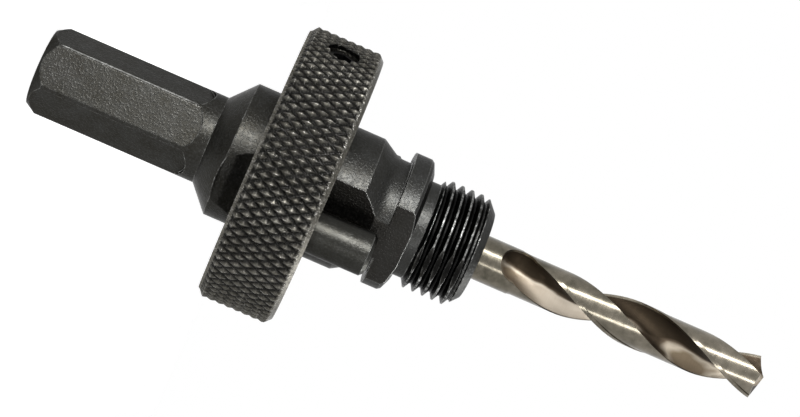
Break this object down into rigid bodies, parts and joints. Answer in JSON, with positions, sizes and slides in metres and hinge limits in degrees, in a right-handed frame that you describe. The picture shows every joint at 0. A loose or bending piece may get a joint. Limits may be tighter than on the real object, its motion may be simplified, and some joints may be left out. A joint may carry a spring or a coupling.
{
  "type": "hole saw arbor",
  "caption": "Arbor with a hexagon shank, a threaded nose, a sliding knurled drive ring with drive pins and a fluted pilot drill, for holding a hole saw.",
  "frame": {"origin": "centre of the hexagon shank's end face", "axes": "+Z along the arbor's axis towards the drill's tip, +X along the normal of the drive flats, through a drive pin"},
  "size_m": [0.0396, 0.0396, 0.1064],
  "materials": {
    "blackened_steel": "blackened, satin",
    "ground_steel": "satin",
    "bright_steel": "polished",
    "screw_steel": "black oxide",
    "high_speed_steel": "bright, ground"
  },
  "bodies": {
    "arbor": {"arbor_body": "blackened_steel", "pilot_drill": "high_speed_steel", "pilot_screw": "screw_steel"},
    "drive_ring_unit": {"drive_ring": "blackened_steel", "drive_pin_1": "ground_steel", "drive_pin_2": "ground_steel", "detent_ball": "bright_steel", "detent_spring": "bright_steel", "detent_screw": "screw_steel"}
  },
  "joints": [
    {"name": "drive_ring_slide", "type": "slide", "parent": "arbor", "child": "drive_ring_unit", "axis": [0, 0, 1], "range_m": [0, 0.0123]}
  ]
}
